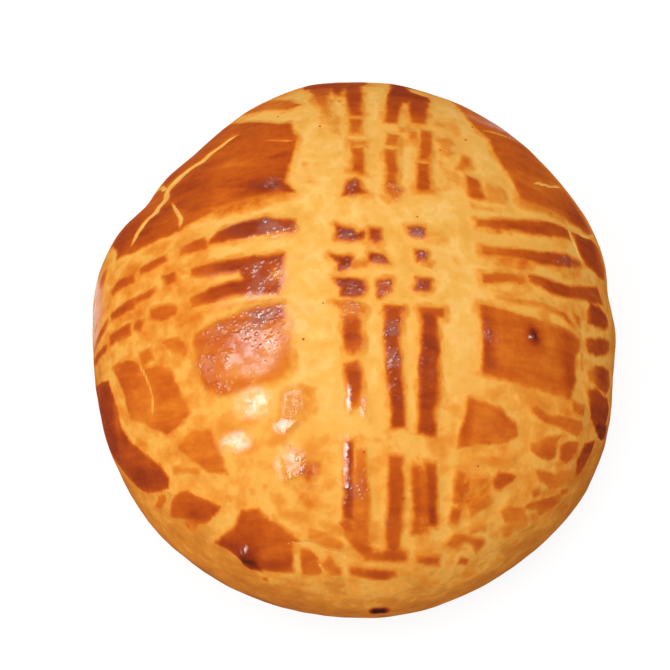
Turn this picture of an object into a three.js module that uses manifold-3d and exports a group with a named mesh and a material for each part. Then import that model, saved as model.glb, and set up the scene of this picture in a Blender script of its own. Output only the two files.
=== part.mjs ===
// A pogaca: a round bread roll, brushed with egg, scored twice across its top with a fork
// and baked on a flat sheet. Millimetres, +Z up, the front of the roll towards -Y.
// The origin is the middle of the flat base.
import * as THREE from "three";
import { mergeVertices } from "three/addons/utils/BufferGeometryUtils.js";
import Module from "manifold-3d";

// The risen dough: how wide, deep and high it is, the height at which it is widest,
// and the width of the flat base that it was baked on.
const WIDTH = 90;
const DEPTH = 96.3;
const HEIGHT = 46;
const WAIST_HEIGHT = 17;
const BASE_WIDTH = 64;

// Flats and bulges of the side, where the dough met its neighbours or swelled more.
// Each has its bearing and spread in degrees, and how far it stands in (out if negative).
const DENTS = [
  { bearing: 134, spread: 21, depth: 3.0 },
  { bearing: 150, spread: 6, depth: 1.0 },
  { bearing: 163, spread: 14, depth: -0.6 },
  { bearing: 186, spread: 12, depth: 0.5 },
  { bearing: 6, spread: 12, depth: 0.4 },
  { bearing: 26, spread: 14, depth: -0.6 },
  { bearing: 328, spread: 24, depth: -1.3 },
  { bearing: 352, spread: 10, depth: 0.6 },
];

// The crust laid flat, as on a globe: u runs to the right and v to the back, in millimetres,
// from the top of the roll. The globe's centre is inside the dough, above the base.
const GLOBE_HEIGHT = 10;
const GLOBE_RADIUS = 42;

// The fork went over the egg wash twice. Each tine left a furrow: where it crosses the top
// of the roll, and half its width. The second stroke climbs a little to the right.
const TINES_DOWN = [
  { at: -7.8, half: 4.2 },
  { at: 3.8, half: 1.9 },
  { at: 9.8, half: 1.6 },
  { at: 18.6, half: 3.6 },
];
const TINES_ACROSS = [
  { at: 14.6, half: 3.2 },
  { at: 6.2, half: 1.4 },
  { at: 0.9, half: 1.1 },
  { at: -4.8, half: 1.2 },
];
const ACROSS_SLOPE = 0.13;
const FURROW_DEPTH = 0.6;
const FURROW_BANK = 1.0;

// The hand that drew the fork wasn't steady: how far a furrow strays, and over what length.
const STRAY = 0.35;
const STRAY_LENGTH = 26;

// The glaze split as the dough rose: the main splits, from point to point on the laid-out crust.
const SPLITS = [
  { half: 0.8, path: [[-23, 37.5], [-30, 33], [-37, 28.5], [-37, 24], [-40, 18.5], [-43, 12.5]] },
  { half: 2.4, path: [[18, 47], [20, 39], [24, 31], [28, 21]] },
  { half: 0.9, path: [[-33, 9], [-31.5, -2], [-30.5, -12], [-29, -20], [-32, -26]] },
  { half: 1.2, path: [[-50, -9.5], [-46, -15], [-43.5, -20.5], [-38, -26.5], [-32.5, -31]] },
  { half: 0.9, path: [[42.5, -3], [42.5, -8], [41.3, -14], [40, -19], [30, -19.4], [21, -18.6]] },
  { half: 1.0, path: [[27.5, -21.5], [29.8, -25], [29, -30], [19, -31]] },
];
const SPLIT_DEPTH = 0.45;

// Furrows and splits die out towards the lower edge of the glaze.
const GLAZE_FADE_FROM = 44;
const GLAZE_FADE_TO = 56;

// How finely the crust is worked, and how far the finished surface may be eased from that.
const STEPS = 90;
const EASE = 0.14;

// Half of the roll's upright section: over the dome, down the side, and in along the base.
function halfSection() {
  const baseHalf = BASE_WIDTH / 2;
  const domeRise = HEIGHT - WAIST_HEIGHT;
  const section = new THREE.CurvePath();
  section.add(new THREE.EllipseCurve(0, WAIST_HEIGHT, WIDTH / 2, domeRise, Math.PI / 2, 0, true));
  section.add(
    new THREE.EllipseCurve(
      baseHalf, WAIST_HEIGHT, WIDTH / 2 - baseHalf, WAIST_HEIGHT, 0, -Math.PI / 2, true,
    ),
  );
  section.add(new THREE.LineCurve(new THREE.Vector2(baseHalf, 0), new THREE.Vector2(0, 0)));
  return section;
}

// How far the side stands in at a bearing, in millimetres at the widest height.
function dentAt(bearing) {
  let depth = 0;
  for (const dent of DENTS) {
    const away = THREE.MathUtils.euclideanModulo(bearing - dent.bearing + 180, 360) - 180;
    depth += dent.depth * Math.exp(-((away / dent.spread) ** 2));
  }
  return depth;
}

// The share of a furrow's depth at a distance from its middle.
function bank(distance, half) {
  return 1 - THREE.MathUtils.smoothstep(distance, half - FURROW_BANK / 2, half + FURROW_BANK / 2);
}

// The distance from a place on the laid-out crust to a split.
function distanceToPath(place, path) {
  const line = new THREE.Line3();
  const nearest = new THREE.Vector3();
  const point = new THREE.Vector3(place.x, place.y, 0);
  let least = Infinity;
  for (let i = 1; i < path.length; i += 1) {
    line.start.set(path[i - 1][0], path[i - 1][1], 0);
    line.end.set(path[i][0], path[i][1], 0);
    line.closestPointToPoint(point, true, nearest);
    least = Math.min(least, nearest.distanceTo(point));
  }
  return least;
}

// How far the furrows have strayed after some length of the stroke.
function strayAt(length) {
  return STRAY * Math.sin((2 * Math.PI * length) / STRAY_LENGTH);
}

// How deep the crust is furrowed at a place on the laid-out crust.
function furrowAt(place) {
  let furrow = 0;
  for (const tine of TINES_DOWN) {
    const aside = place.x - tine.at - strayAt(place.y);
    furrow = Math.max(furrow, bank(Math.abs(aside), tine.half));
  }
  for (const tine of TINES_ACROSS) {
    const aside = place.y - tine.at - ACROSS_SLOPE * place.x - strayAt(place.x);
    furrow = Math.max(furrow, bank(Math.abs(aside), tine.half));
  }
  let split = 0;
  for (const { half, path } of SPLITS) {
    split = Math.max(split, bank(distanceToPath(place, path), half));
  }
  const fade = 1 - THREE.MathUtils.smoothstep(place.length(), GLAZE_FADE_FROM, GLAZE_FADE_TO);
  return fade * Math.max(FURROW_DEPTH * furrow, SPLIT_DEPTH * split);
}

// The roll's surface: a box whose faces are split evenly, blown out to the roll's section,
// pressed in at the dents and furrowed by the fork.
function crust() {
  const box = new THREE.BoxGeometry(2, 2, 2, STEPS, STEPS, STEPS);
  box.deleteAttribute("normal");
  box.deleteAttribute("uv");
  const shell = mergeVertices(box);
  const points = shell.attributes.position;
  const section = halfSection();
  const globeCentre = new THREE.Vector3(0, 0, GLOBE_HEIGHT);
  const point = new THREE.Vector3();
  const outward = new THREE.Vector3();
  const place = new THREE.Vector2();
  for (let i = 0; i < points.count; i += 1) {
    point.fromBufferAttribute(points, i);
    for (const axis of ["x", "y", "z"]) {
      point[axis] = Math.tan((point[axis] * Math.PI) / 4);
    }
    const fromTop = point.angleTo(new THREE.Vector3(0, 0, 1));
    const bearing = Math.atan2(point.y, point.x);
    const onSection = section.getPoint(fromTop / Math.PI);
    const reach = onSection.x * (1 - dentAt(THREE.MathUtils.radToDeg(bearing)) / (WIDTH / 2));
    point.set(
      reach * Math.cos(bearing),
      (reach * Math.sin(bearing) * DEPTH) / WIDTH,
      onSection.y,
    );
    if (onSection.y > 0) {
      outward.subVectors(point, globeCentre).normalize();
      place.set(outward.x, outward.y).setLength(GLOBE_RADIUS * Math.acos(outward.z));
      point.addScaledVector(outward, -furrowAt(place));
    }
    points.setXYZ(i, point.x, point.y, point.z);
  }
  return shell;
}

// Triangles that the surface doesn't need, as on the flat base, are joined into larger ones.
const wasm = await Module();
wasm.setup();

function eased(shell) {
  const solid = new wasm.Manifold(
    new wasm.Mesh({
      numProp: 3,
      vertProperties: new Float32Array(shell.attributes.position.array),
      triVerts: new Uint32Array(shell.index.array),
    }),
  );
  const mesh = solid.simplify(EASE).getMesh();
  const geometry = new THREE.BufferGeometry();
  geometry.setAttribute("position", new THREE.BufferAttribute(mesh.vertProperties, 3));
  geometry.setIndex(new THREE.BufferAttribute(mesh.triVerts, 1));
  geometry.computeVertexNormals();
  return geometry;
}

const crustMaterial = new THREE.MeshStandardMaterial({
  color: 0xd08a35,
  roughness: 0.45,
  metalness: 0,
});

const bun = new THREE.Mesh(eased(crust()), crustMaterial);
bun.name = "bun";

const pogaca = new THREE.Group();
pogaca.add(bun);

export default pogaca;
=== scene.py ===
import math

import bpy
import numpy as np
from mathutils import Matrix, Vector, noise


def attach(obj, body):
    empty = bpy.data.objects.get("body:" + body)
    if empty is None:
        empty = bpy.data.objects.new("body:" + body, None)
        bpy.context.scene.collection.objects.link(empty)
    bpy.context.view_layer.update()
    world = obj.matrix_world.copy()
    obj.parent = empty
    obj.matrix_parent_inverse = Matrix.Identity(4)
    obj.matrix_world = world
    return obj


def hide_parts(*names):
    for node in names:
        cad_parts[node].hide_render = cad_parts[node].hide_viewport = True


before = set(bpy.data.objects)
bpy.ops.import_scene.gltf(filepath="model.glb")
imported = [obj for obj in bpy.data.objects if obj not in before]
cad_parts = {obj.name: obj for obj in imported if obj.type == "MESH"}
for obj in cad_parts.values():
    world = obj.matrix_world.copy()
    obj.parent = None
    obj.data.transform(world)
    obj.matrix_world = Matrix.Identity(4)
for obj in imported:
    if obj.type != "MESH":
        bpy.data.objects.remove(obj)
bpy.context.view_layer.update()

# The dough: one ball of soft yeast dough, set down on a flat sheet, risen and baked.
# It is a low dome with a full round side and a flat base. A neighbour in the oven pressed
# a flat with a small notch into the back left, and the front right swelled a little more.
MM = 0.001
half_width = 45.0 * MM
depth_share = 1.07
height = 46.0 * MM
waist_height = 17.0 * MM
base_half = 32.0 * MM
arc_steps = 400
base_steps = 60
halvings = 7
# Flats and bulges of the side: bearing and spread in degrees, and how far in, in mm.
side_dents = [
    (134, 21, 3.0), (150, 6, 1.0), (163, 14, -0.6), (186, 12, 0.5), (6, 12, 0.4), (26, 14, -0.6),
    (328, 24, -1.3), (352, 10, 0.6), (92, 9, 0.6), (141, 6, -0.4), (171, 5, -0.4), (221, 9, -0.45),
    (256, 16, 0.3), (0, 4, -0.4), (9, 4, 0.4),
]

bpy.ops.object.select_all(action="DESELECT")
bpy.ops.mesh.primitive_cube_add(size=2.0, location=(0, 0, 0))
bun = bpy.context.object
bun.name = "bun_crust"
bun.data.name = "bun_crust"
bpy.ops.object.mode_set(mode="EDIT")
bpy.ops.mesh.select_all(action="SELECT")
for halving in range(halvings):
    bpy.ops.mesh.subdivide(number_cuts=1)
bpy.ops.object.mode_set(mode="OBJECT")


def read_vectors(source, name):
    flat = np.empty(len(source) * 3)
    source.foreach_get(name, flat)
    return flat.reshape(-1, 3)


def write_points(mesh, points):
    mesh.vertices.foreach_set("co", points.ravel())
    mesh.update()


def ease(low, high, value):
    """A soft step from 0 at the low value to 1 at the high one."""
    share = np.clip((value - low) / (high - low), 0.0, 1.0)
    return share * share * (3.0 - 2.0 * share)


# The half section as one long line: over the dome, down the side and in along the base.
quarter = np.linspace(0.0, math.pi / 2, arc_steps)
section_r = np.concatenate([
    half_width * np.sin(quarter),
    base_half + (half_width - base_half) * np.cos(quarter[1:]),
    base_half * np.linspace(1.0, 0.0, base_steps)[1:],
])
section_z = np.concatenate([
    waist_height + (height - waist_height) * np.cos(quarter),
    waist_height - waist_height * np.sin(quarter[1:]),
    np.zeros(base_steps - 1),
])
section_run = np.concatenate([[0.0], np.cumsum(np.hypot(np.diff(section_r), np.diff(section_z)))])
crust_run = section_run[arc_steps * 2 - 2]

points = np.tan(read_vectors(bun.data.vertices, "co") * math.pi / 4)
points /= np.linalg.norm(points, axis=1)[:, None]
from_top = np.degrees(np.arccos(np.clip(points[:, 2], -1.0, 1.0)))
bearing = np.degrees(np.arctan2(points[:, 1], points[:, 0]))

# Most of the net of faces goes to the crust, and only the last part of it to the base.
base_starts = 148.0
run = np.where(
    from_top < base_starts,
    crust_run * from_top / base_starts,
    crust_run + (section_run[-1] - crust_run) * (from_top - base_starts) / (180.0 - base_starts),
)
reach = np.interp(run, section_run, section_r)
for dent_bearing, dent_spread, dent_depth in side_dents:
    away = (bearing - dent_bearing + 180.0) % 360.0 - 180.0
    reach = reach * (1.0 - dent_depth * MM / half_width * np.exp(-((away / dent_spread) ** 2)))
points = np.stack([
    reach * np.cos(np.radians(bearing)),
    reach * np.sin(np.radians(bearing)) * depth_share,
    np.interp(run, section_run, section_z),
], axis=1)
just_above_floor = 0.0001 * MM
on_base = points[:, 2] < just_above_floor
write_points(bun.data, points)
bpy.ops.object.shade_smooth()

# The egg glaze: beaten egg brushed over the top and half way down the side, then scored
# twice with a fork. In the oven it browned and split into plates, and the tine lines and
# the splits show the pale dough.

# Places are on the crust laid flat like a globe's map: mm to the right and to the back of the
# top. The marks lie a little nearer the front than an even map has them, so it is shifted.
globe_height = 10.0 * MM
globe_radius = 42.0
shift_right = 0.1
shift_back = 0.42
stretch_back = 0.0085
bend_back = 0.00006
far_away = 99.0
outward = points - np.array([0.0, 0.0, globe_height])
outward /= np.linalg.norm(outward, axis=1)[:, None]
globe_angle = np.arccos(np.clip(outward[:, 2], -1.0, 1.0))
flat_length = np.maximum(np.hypot(outward[:, 0], outward[:, 1]), 1e-9)
places = outward[:, :2] / flat_length[:, None] * (globe_radius * globe_angle)[:, None]
places[:, 1] += shift_back + stretch_back * places[:, 1] + bend_back * places[:, 1] ** 2
places[:, 0] += shift_right
from_crown = np.hypot(places[:, 0], places[:, 1])


def rough(size, seed):
    """Soft unevenness between -1 and 1 at every point, with swells of this size in mm."""
    shift = Vector((seed * 7.31, seed * 3.17, seed * 5.53))
    return np.array([noise.noise(Vector(spot) + shift) for spot in points / (size * MM)])


# Edges of baked egg are ragged, so the places are shaken a little before they are measured:
# wide bays with small nicks in them, how deep and how long in mm.
bay_depth = 0.45
bay_length = 4.5
nick_depth = 0.15
nick_length = 1.5
shaken = places + np.stack([
    bay_depth * rough(bay_length, 1) + nick_depth * rough(nick_length, 2),
    bay_depth * rough(bay_length, 3) + nick_depth * rough(nick_length, 4),
], axis=1)


def stroke(path):
    """How far each place is inside a flat-ended stroke, in mm, and how dark it is there."""
    depth = np.full(len(shaken), -far_away)
    tone = np.zeros(len(shaken))
    for index, (start, end) in enumerate(zip(path, path[1:])):
        step = np.array(end[:2]) - np.array(start[:2])
        length = np.hypot(step[0], step[1])
        offset = shaken - np.array(start[:2])
        along = offset @ step / length
        aside = (offset[:, 0] * step[1] - offset[:, 1] * step[0]) / length
        share = np.clip(along / length, 0.0, 1.0)
        past_end = along - share * length
        here = start[2] + share * (end[2] - start[2]) - np.hypot(aside, past_end)
        if index == 0:
            here = np.minimum(here, along)
        if index == len(path) - 2:
            here = np.minimum(here, length - along)
        tone = np.where(here > depth, start[3] + share * (end[3] - start[3]), tone)
        depth = np.maximum(depth, here)
    return depth, tone


def plate_depth(corners):
    """How far each place is inside a plate with these corners, in mm."""
    nearest = np.full(len(shaken), far_away)
    inside = np.zeros(len(shaken), bool)
    for (x0, y0), (x1, y1) in zip(corners, corners[1:] + corners[:1]):
        step = np.array([x1 - x0, y1 - y0])
        offset = shaken - np.array([x0, y0])
        share = np.clip(offset @ step / (step @ step), 0.0, 1.0)
        gap = offset - share[:, None] * step
        nearest = np.minimum(nearest, np.hypot(gap[:, 0], gap[:, 1]))
        crosses = (y0 > shaken[:, 1]) != (y1 > shaken[:, 1])
        if y1 != y0:
            inside ^= crosses & (shaken[:, 0] < x0 + (shaken[:, 1] - y0) * (x1 - x0) / (y1 - y0))
    return np.where(inside, nearest, -nearest)


# Ridges that the fork's first stroke, from back to front, left between its tines, as points
# (right, back, half width, tone). The tone is 0 for bare dough and 1.25 where it is burnt.
ridges_down = [
    [(-6.4, 49, 2.0, 0.74), (-6.0, 46, 1.9, 0.68), (-5.9, 44, 1.5, 0.62), (-5.5, 41, 1.0, 0.5),
     (-5.0, 38.5, 0.8, 0.36), (-4.2, 35, 0.8, 0.22), (-3.6, 32, 0.6, 0.12)],
    [(-3.2, 49, 1.2, 0.9), (-3.0, 45.5, 0.9, 0.82), (-2.6, 43, 0.5, 0.6)],
    [(-0.2, 50, 1.7, 0.9), (0.1, 44, 1.5, 0.78), (0.3, 40, 1.4, 0.7), (0.4, 36.6, 1.3, 0.64)],
    [(0.5, 35.9, 1.1, 0.62), (0.6, 33, 1.1, 0.58), (0.6, 31.6, 1.1, 0.54)],
    [(-0.3, 29.3, 0.5, 0.44), (2.2, 29.2, 0.5, 0.4)],
    [(0.8, 28.4, 1.15, 0.54), (0.8, 25, 1.2, 0.66), (0.6, 22.2, 1.2, 0.8)],
    [(-1.5, 22.6, 0.35, 0.5), (1.8, 22.5, 0.5, 0.7)],
    [(9.2, 50, 1.5, 0.9), (8.8, 46, 1.6, 0.9), (8.1, 42, 1.5, 0.86), (7.3, 38, 1.3, 0.76),
     (7, 34.8, 1.2, 0.58)],
    [(7.3, 31.8, 1.0, 0.48), (7.3, 29.0, 1.05, 0.54)],
    [(7.3, 28.1, 1.0, 0.56), (7.0, 24, 1.0, 0.64), (6.8, 19.6, 1.0, 0.7)],
    [(12.4, 44.4, 1.8, 0.92), (12.5, 41, 1.7, 0.86), (12.4, 38, 1.6, 0.78), (12.2, 34.9, 1.4, 0.56)],
    [(13.7, 33.4, 1.1, 0.56), (13.4, 29, 1.2, 0.64), (13.3, 25.9, 1.15, 0.6)],
    [(10.8, 33, 0.7, 0.44), (11.0, 30.5, 0.6, 0.34)],
    [(13.1, 25.3, 1.2, 0.6), (13.2, 22, 1.25, 0.7), (13.1, 18.7, 1.25, 0.78)],
    [(12, 18.7, 0.4, 0.6), (15.2, 18.7, 0.4, 0.45)],
    [(15.4, 35.2, 0.6, 0.28), (16, 34.4, 0.5, 0.28)],
    [(16.4, 31.8, 1.1, 0.42), (17.6, 30.0, 1.1, 0.42)],
    [(17.4, 28.6, 0.8, 0.34), (18.4, 27.8, 0.8, 0.34)],
    [(8.7, 33.2, 0.4, 0.5), (9.4, 33.2, 0.4, 0.5)],
    [(-1.0, -7.4, 1.5, 0.55), (-0.5, -9, 1.5, 0.72), (-0.4, -12, 1.5, 0.8), (-0.2, -14, 1.5, 0.6),
     (-0.1, -15.4, 1.4, 0.35)],
    [(-0.4, -16.7, 1.3, 0.6), (0, -19, 1.5, 0.8), (0.2, -22, 1.2, 0.75), (0.4, -24.2, 0.7, 0.6)],
    [(1.2, -22.5, 0.7, 0.4), (2.3, -26, 0.3, 0.3)],
    [(5.3, -6.5, 0.6, 0.6), (9.4, -6.7, 0.6, 0.65)],
    [(7.1, -6.4, 1.7, 0.75), (7.2, -9, 1.4, 0.8), (7.1, -12, 1.35, 0.8), (7.3, -20, 1.4, 0.8),
     (7.6, -24, 1.2, 0.88), (7.7, -27, 1.2, 0.8)],
    [(12, -6.6, 0.7, 0.65), (16.5, -6.4, 0.8, 0.7)],
    [(13.6, -6.6, 1.5, 0.8), (13.7, -10, 1.5, 0.85), (13.6, -16, 1.6, 0.86), (13.5, -21, 1.5, 0.82),
     (12.9, -25, 1.4, 0.82), (12.7, -28.1, 1.6, 0.75)],
    [(-0.8, -29.6, 0.6, 0.76), (-0.8, -33, 0.8, 0.86), (-0.8, -38, 0.9, 0.92), (-0.7, -41.2, 0.9, 0.86)],
    [(1.2, -31, 0.9, 0.5), (1.3, -36, 1.3, 0.58), (1.2, -41, 1.5, 0.58), (1.6, -45, 1.2, 0.56)],
    [(-1.6, -41.2, 0.8, 0.62), (-0.4, -43.2, 1.2, 0.6), (1.4, -45.2, 1.3, 0.62), (3.2, -46.6, 0.9, 0.62)],
    [(7.4, -31.7, 1.3, 0.6), (7.2, -36, 1.4, 0.66), (7, -40, 1.5, 0.7), (6.8, -44, 1.4, 0.64),
     (7, -46, 1.2, 0.64)],
    [(11.1, -32.6, 0.9, 0.62), (11, -37, 1.0, 0.7), (10.9, -43.2, 1.0, 0.64)],
    [(13.4, -32, 0.95, 0.75), (13.4, -37, 1.0, 0.8), (13.4, -42, 1.0, 0.75)],
    [(12.2, -33, 0.8, 0.56), (12.1, -43, 0.9, 0.6)],
    [(14, -39.9, 0.6, 1.0), (14.1, -41.5, 0.6, 1.0)],
    [(2, -46.6, 0.8, 0.6), (5, -46.8, 0.8, 0.62), (7.4, -46.4, 1.1, 0.68), (9.8, -46.6, 0.8, 0.6)],
    [(-0.8, -49.6, 0.9, 0.52), (2, -49.7, 0.9, 0.58), (5.5, -50, 1.0, 0.66), (7.7, -49.5, 0.7, 0.5)],
    [(11.2, -47.2, 0.8, 0.58), (13.5, -47.3, 1.0, 0.66), (15.4, -47.2, 0.8, 0.56)],
    [(10.4, -48.9, 0.6, 0.4), (11.8, -49, 0.6, 0.4)],
]

# Ridges of the second stroke, from left to right.
ridges_across = [
    [(-26.6, 9.1, 0.5, 0.68), (-24.5, 10, 1.2, 0.76), (-20, 10.9, 1.8, 0.92), (-16, 11.3, 1.9, 0.85),
     (-11.3, 11, 1.2, 0.7)],
    [(-32, 8.2, 1.1, 0.58), (-29.4, 8.7, 1.2, 0.66), (-27.2, 9.2, 1.1, 0.66)],
    [(-39.9, 6.2, 0.8, 0.62), (-37, 6.8, 1.0, 0.66), (-34.2, 7.5, 1.0, 0.58)],
    [(-46.6, 4.2, 0.8, 0.7), (-44, 5.0, 1.0, 0.76), (-41, 5.4, 0.9, 0.7)],
    [(-54, -0.6, 0.6, 0.5), (-51.6, 0.6, 0.7, 0.52), (-48.6, 2.4, 0.6, 0.45)],
    [(-30, 3.2, 0.9, 0.52), (-26.5, 3.4, 1.2, 0.62), (-24, 3.4, 1.2, 0.8), (-20, 3.6, 1.2, 0.94),
     (-13, 4, 1.0, 0.9)],
    [(-34.9, 2.7, 1.1, 0.64), (-32.7, 3.0, 1.1, 0.66)],
    [(-31.6, 3.7, 0.35, 0.4), (-30.5, 3.5, 0.3, 0.4)],
    [(-40.9, 0.6, 0.7, 0.6), (-38, 1.2, 0.8, 0.62), (-36.4, 2.0, 0.6, 0.5)],
    [(-46.7, -0.7, 0.8, 0.66), (-43.8, -0.1, 1.1, 0.76), (-41, 0.2, 1.0, 0.66)],
    [(-55, -4.6, 0.7, 0.6), (-52.4, -3.5, 0.8, 0.68), (-49.6, -2.2, 0.8, 0.66), (-47.4, -1.0, 0.6, 0.55)],
    [(-30, -2.4, 1.0, 0.55), (-26, -1.6, 1.5, 0.75), (-22, -1, 1.6, 0.88), (-19, -0.8, 1.6, 0.85)],
    [(-38, -3.0, 1.2, 0.57), (-35.4, -3.1, 1.5, 0.6), (-32.4, -3.5, 0.9, 0.54)],
    [(-41, -4.0, 1.2, 0.62), (-39, -4.8, 1.3, 0.62)],
    [(-47.4, -5.1, 1.1, 0.68), (-42, -4.8, 1.3, 0.66)],
    [(-57.5, -6.6, 0.8, 0.75), (-53, -7, 0.8, 0.78), (-48, -5.9, 0.6, 0.65)],
    [(-50.2, 7.2, 1.1, 0.55), (-49, 9.4, 1.2, 0.6), (-48.4, 11, 0.8, 0.5)],
    [(22.8, 12.8, 0.7, 0.54), (26, 13.3, 1.0, 0.65), (33, 14.0, 1.3, 0.74), (38, 14.8, 1.4, 0.76),
     (41.6, 15.3, 1.0, 0.74)],
    [(24, 7.2, 0.9, 0.58), (30, 7.2, 1.0, 0.62), (36, 7.9, 1.3, 0.74), (40.5, 9.0, 1.3, 0.8),
     (44.2, 10.2, 0.5, 0.66)],
    [(23.8, 1.2, 1.0, 0.6), (27, 1.6, 1.1, 0.6), (31.8, 2.2, 0.9, 0.48)],
    [(32.4, 2.8, 0.8, 0.66), (37, 2.2, 1.2, 0.76), (41, 2.6, 1.3, 0.78), (45, 3.6, 1.6, 0.74),
     (49.8, 5.4, 1.9, 0.78)],
    [(26, -2.2, 0.5, 0.3), (30, -2.4, 0.6, 0.42), (36, -2.2, 0.6, 0.48), (39, -2.9, 0.6, 0.58),
     (41.4, -4.8, 0.5, 0.58)],
]

# Scraps and drips of glaze round the lower edge, most of them thin and orange, and one
# spot at the front that burnt on the baking sheet.
scraps = [
    [(18.8, -33.2, 0.9, 0.58), (18.4, -36, 1.0, 0.62), (18, -38, 0.8, 0.56)],
    [(17.9, -38.7, 0.9, 0.6), (17.6, -41, 0.9, 0.58)],
    [(20.2, -38.9, 0.8, 0.52), (24.2, -36.6, 0.9, 0.52)],
    [(19.8, -35.4, 0.7, 0.4), (24, -33.6, 0.8, 0.42)],
    [(38.8, -34.3, 0.7, 0.64), (41.2, -33.6, 0.7, 0.62)],
    [(32.2, -35.2, 0.7, 0.54), (33.6, -34.4, 0.7, 0.54)],
    [(40.2, -37.8, 0.6, 0.5), (42.4, -36.6, 0.6, 0.5)],
    [(20.6, -41.9, 0.5, 0.48), (23.8, -41.5, 0.5, 0.48)],
    [(19.2, -47.4, 0.5, 0.56), (20.8, -47.7, 0.5, 0.56)],
    [(20.4, -31.3, 0.7, 0.3), (28, -30.8, 0.7, 0.34)],
    [(40.8, -1.4, 0.2, 0.5), (42.4, -3.8, 0.2, 0.6)],
    [(42.3, -9.4, 0.2, 0.5), (42.4, -12.4, 0.2, 0.5)],
    [(-14.2, -40.8, 0.35, 0.4), (-13.4, -40.8, 0.35, 0.4)],
    [(-15.8, -35.7, 0.4, 0.28), (-14.8, -35.5, 0.4, 0.28)],
    [(-22.4, -36.8, 0.5, 0.36), (-21.4, -37.2, 0.4, 0.34)],
    [(-18.2, -36.2, 0.5, 0.3), (-17.4, -36, 0.4, 0.3)],
    [(-32.4, -31.4, 0.6, 0.45), (-27.4, -32.2, 0.6, 0.45)],
    [(-30.9, -40.6, 0.5, 0.7), (-30.5, -42, 0.4, 0.55)],
    [(-29.3, -40.6, 0.5, 0.7), (-29.6, -43.2, 0.4, 0.45)],
    [(-7.8, -43.2, 0.7, 0.42), (-4.6, -44.3, 0.9, 0.46), (-2.2, -45.6, 0.7, 0.44)],
    [(-4.9, -47.4, 1.0, 0.5), (-3.6, -49.2, 1.0, 0.52), (-2.4, -49.6, 0.7, 0.5)],
    [(-17.2, -51.6, 0.45, 0.75), (-16.4, -51.6, 0.45, 0.75)],
    [(3.1, -59.2, 0.6, 1.0), (4.2, -59.1, 1.1, 1.25), (6.2, -58.9, 1.1, 1.25), (7.4, -58.8, 0.6, 1.0)],
]

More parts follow.
